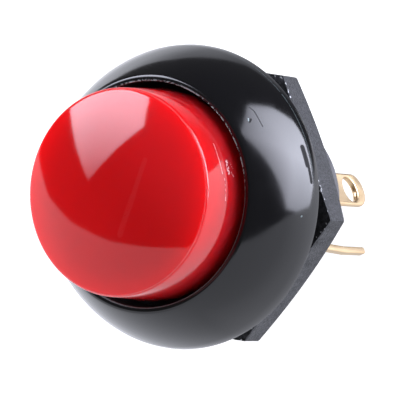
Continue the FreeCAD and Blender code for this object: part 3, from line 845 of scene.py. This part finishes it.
def easeEdges(node, size):
    bm = bmesh.new()
    bm.from_mesh(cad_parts[node].data)
    bmesh.ops.remove_doubles(bm, verts=bm.verts, dist=mergeDistance)
    bmesh.ops.dissolve_limit(bm, angle_limit=math.radians(flatDeg), verts=bm.verts, edges=bm.edges)
    joins = [edge for edge in bm.edges if len(edge.link_faces) == 2]
    bmesh.ops.bevel(
        bm, geom=[edge for edge in joins if edge.calc_face_angle() > math.radians(sharpDeg)],
        offset=size * mm, offset_type="OFFSET", affect="EDGES", segments=easingSegments,
        profile=0.5, material=-1, clamp_overlap=False,
    )
    finishPiece(node + "_eased", bm, plates["goldPlate"], "housing", "gold_plate", node)


for node, size in easing.items():
    easeEdges(node, size)


# Poured resin behind the base, climbing a little where it wets the metal

resin = {
    "radius": 4.6, "front": -8.1, "rear": -9.15, "climb": 0.13, "reach": 0.22, "rings": 34, "steps": 128,
    # How far from the middle the lugs and the pins stand, across X
    "lugSpan": (2.35, 2.75), "pinSpan": (-0.225, 0.225), "tolerance": 1e-3,
}


def makeResin():
    r = resin
    bm = bmesh.new()
    face = [(r["radius"] * (1 - ring / r["rings"]), r["rear"]) for ring in range(r["rings"] + 1)]
    lathe(bm, [(0.0, r["front"]), (r["radius"], r["front"]), *face], {}, r["steps"])
    closeUp(bm)
    metal = []
    for node in easing:
        low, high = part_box(node)
        metal.append((low / mm, high / mm, low.x > 0 or high.x < 0))
    for vert in bm.verts:
        spot = vert.co / mm
        if abs(spot.z - r["rear"]) > r["tolerance"]:
            continue
        gap = r["radius"] - math.hypot(spot.x, spot.y)
        for low, high, isLug in metal:
            if isLug and (spot.x > 0) != (low.x > 0):
                continue
            inner, outer = r["lugSpan"] if isLug else r["pinSpan"]
            offX = max(inner - abs(spot.x), abs(spot.x) - outer, 0.0)
            offY = max(low.y - spot.y, spot.y - high.y, 0.0)
            gap = min(gap, math.hypot(offX, offY))
        vert.co.z -= r["climb"] * math.exp(-gap / r["reach"]) * mm
    finishPiece("resinFill", bm, plastics["resinBlack"], "housing", "resin_black", "resin_seal")


makeResin()


# CAD nodes that keep their own shape

finishes = {
    "panel_seal": plastics["sealRubber"],
    "plunger_seal": plastics["sealRubber"],
    "light_diffuser": plastics["diffuserMilk"],
    "plunger": plastics["plungerWhite"],
    "led_holder": plastics["plungerWhite"],
    "led_lamp": plastics["lampEpoxy"],
    "contact_ring": plates["contactSilver"],
    "contact_stud_common": plates["contactSilver"],
    "contact_stud_open": plates["contactSilver"],
    "terminal_base": plastics["baseGrey"],
}
for node, finish in finishes.items():
    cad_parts[node].material_slots[0].material = finish
print("finishes set on", len(finishes), "nodes")


# Camera, fitted to the outlines in the photograph

view = {
    "tiltDeg": 30.539, "swingDeg": 3.761, "turnDeg": 20.45, "standOff": 220 * mm,
    "slideAcross": -0.8589 * mm, "slideDown": -0.1954 * mm,
    "focalPixels": 3731.7, "imagePixels": 400, "sensor": 36, "clipStart": 0.01,
}


def cameraAxes():
    tilt, swing, turn = (math.radians(view[key]) for key in ("tiltDeg", "swingDeg", "turnDeg"))
    # The part's axes as the camera sees them: right, down and away
    partZ = Vector((-math.sin(tilt) * math.cos(swing), -math.sin(tilt) * math.sin(swing), -math.cos(tilt)))
    across = (Vector((1, 0, 0)) - partZ * partZ.x).normalized()
    down = across.cross(partZ)
    partX = across * math.cos(turn) - down * math.sin(turn)
    partY = -across * math.sin(turn) - down * math.cos(turn)
    return [Vector((partX[axis], partY[axis], partZ[axis])) for axis in range(3)]


camRight, camDown, camAway = cameraAxes()


def makeCamera():
    lens = bpy.data.cameras.new("photoCamera")
    lens.sensor_width = view["sensor"]
    lens.lens = view["focalPixels"] * view["sensor"] / view["imagePixels"]
    lens.clip_start = view["clipStart"]
    camera = bpy.data.objects.new("photoCamera", lens)
    place = -(camRight * view["slideAcross"] + camDown * view["slideDown"] + camAway * view["standOff"])
    turn = Matrix((camRight, -camDown, -camAway)).transposed()
    camera.matrix_world = Matrix.Translation(place) @ turn.to_4x4()
    bpy.context.scene.collection.objects.link(camera)
    bpy.context.scene.camera = camera


makeCamera()
print("camera set")


# Studio: soft boxes, a white table below the picture and a pale floor far behind the part

lampTint = rgb(0.92, 0.945, 1.10)
paperTint = rgb(0.93, 0.95, 1.04)
# Corners are azimuth and elevation in degrees, and the strength of the light there
cards = {
    "rightBox": {"away": 0.30, "soft": 0.022, "sag": 0.0, "middle": 13.0, "tint": lampTint, "corners": [
        (96, -10, 6.0), (67, -7, 6.0), (42.5, 45, 3.4), (75, 61, 5.5), (95, 51, 7.0), (103.5, 29, 10.0),
        (98, 10, 12.0),
    ]},
    "leftBox": {"away": 0.30, "soft": 0.007, "sag": 0.0, "middle": 10.5, "tint": lampTint, "corners": [
        (-70.4, 6.5, 1.6), (-50.5, 25.5, 8.0), (-53, 37, 10.5), (-75, 58, 13.0), (-92, 50, 13.0),
        (-90, 27, 11.0),
    ]},
    # A white sheet under the picture's lower edge: it greys the lower half of the bezel
    "whiteTable": {"away": 0.30, "soft": 0.008, "sag": 0.10, "middle": 1.05, "tint": paperTint, "corners": [
        (-150, 14, 2.3), (-99, 13.5, 2.1), (-89, 1.2, 1.9), (-78, -6, 1.5), (-62, -12.4, 1.3),
        (-44, -15.6, 1.2), (-28, -16.2, 1.2), (10, -33, 1.1), (43, -29, 1.1), (57, -19, 1.2),
        (68.5, -11, 1.3), (88, -2, 2.3), (122.5, 22.5, 2.2), (160, 6, 0.4),
    ]},
    "backWall": {"away": 0.36, "soft": 0.02, "sag": 0.0, "middle": 0.65, "tint": paperTint, "corners": [
        (-148, 13, 1.9), (-152, 35, 1.8), (-167, 52, 0.80), (173, 54, 0.80), (131, 43, 0.1), (136, 8, 0.3),
    ]},
}


def studioDirection(azimuthDeg, elevationDeg):
    # Azimuth 0 is towards the camera and 90 to its right, seen from the part
    azimuth, elevation = math.radians(azimuthDeg), math.radians(elevationDeg)
    level = camRight * math.sin(azimuth) - camAway * math.cos(azimuth)
    return level * math.cos(elevation) - camDown * math.sin(elevation)


def glowMaterial(name, tint):
    # Light whose strength is the card's own attribute, so that it can fade towards an edge
    material = bpy.data.materials.new(name)
    tree = emptyTree(material)
    power = addNode(tree, "ShaderNodeAttribute", {"attribute_name": "glow"}).outputs["Fac"]
    light = addNode(tree, "ShaderNodeEmission", Strength=power, Color=tint)
    addNode(tree, "ShaderNodeOutputMaterial", Surface=light.outputs[0])
    return material


def placeCard(name, card):
    # One face through the corners, dark along its border and pulled down in the middle by sag
    bm = bmesh.new()
    glow = bm.verts.layers.float.new("glow")
    spots = [studioDirection(azimuth, elevation) * card["away"] for azimuth, elevation, _ in card["corners"]]
    border = [bm.verts.new(spot) for spot in spots]
    face = bm.faces.new(border)
    bmesh.ops.inset_individual(bm, faces=[face], thickness=card["soft"], use_even_offset=True)
    for vert in bm.verts:
        nearest = min(range(len(spots)), key=lambda index: (vert.co - spots[index]).length)
        vert[glow] = 0.0 if vert in border else card["corners"][nearest][2]
    middle = bmesh.ops.poke(bm, faces=[face])["verts"][0]
    middle.co += camDown * card["sag"]
    middle[glow] = card["middle"]
    bmesh.ops.triangulate(bm, faces=bm.faces)
    item = addObject(name, bm, glowMaterial(name, card["tint"]))
    item.visible_camera = False


for name, card in cards.items():
    placeCard(name, card)

floor = {
    "below": 0.32, "radius": 0.30, "shift": (-0.10, 0.045), "colour": rgb(0.8, 0.8, 0.8), "lift": 0.72,
    "segments": 64,
}


def makeFloor():
    # A pale disc that keeps shadows, lifted to white for the camera and in reflections
    material = bpy.data.materials.new("paleFloor")
    tree = emptyTree(material)
    paths = addNode(tree, "ShaderNodeLightPath").outputs
    seen = paths["Is Camera Ray"]
    for ray in ("Is Glossy Ray", "Is Transmission Ray"):
        seen = calc(tree, "MAXIMUM", seen, paths[ray])
    matte = addNode(tree, "ShaderNodeBsdfDiffuse", Color=floor["colour"])
    light = addNode(tree, "ShaderNodeEmission", Strength=calc(tree, "MULTIPLY", seen, floor["lift"]))
    both = addNode(tree, "ShaderNodeAddShader")
    tree.links.new(matte.outputs[0], both.inputs[0])
    tree.links.new(light.outputs[0], both.inputs[1])
    addNode(tree, "ShaderNodeOutputMaterial", Surface=both.outputs[0])
    bm = bmesh.new()
    bmesh.ops.create_circle(bm, cap_ends=True, segments=floor["segments"], radius=floor["radius"])
    bmesh.ops.translate(bm, verts=bm.verts, vec=(*floor["shift"], -floor["below"]))
    addObject("paleFloor", bm, material)


makeFloor()

ambient = 0.12


def makeWorld():
    # White to the camera, and a dim even light to all else
    world = bpy.data.worlds.new("studio")
    bpy.context.scene.world = world
    tree = emptyTree(world)
    dim = addNode(tree, "ShaderNodeBackground", Color=rgb(1, 1, 1), Strength=ambient)
    white = addNode(tree, "ShaderNodeBackground", Color=rgb(1, 1, 1), Strength=1.0)
    seen = addNode(tree, "ShaderNodeLightPath").outputs["Is Camera Ray"]
    mix = addNode(tree, "ShaderNodeMixShader", Fac=seen)
    tree.links.new(dim.outputs[0], mix.inputs[1])
    tree.links.new(white.outputs[0], mix.inputs[2])
    addNode(tree, "ShaderNodeOutputWorld", Surface=mix.outputs[0])


makeWorld()
bpy.context.scene.view_settings.view_transform = "Standard"
print("studio set")
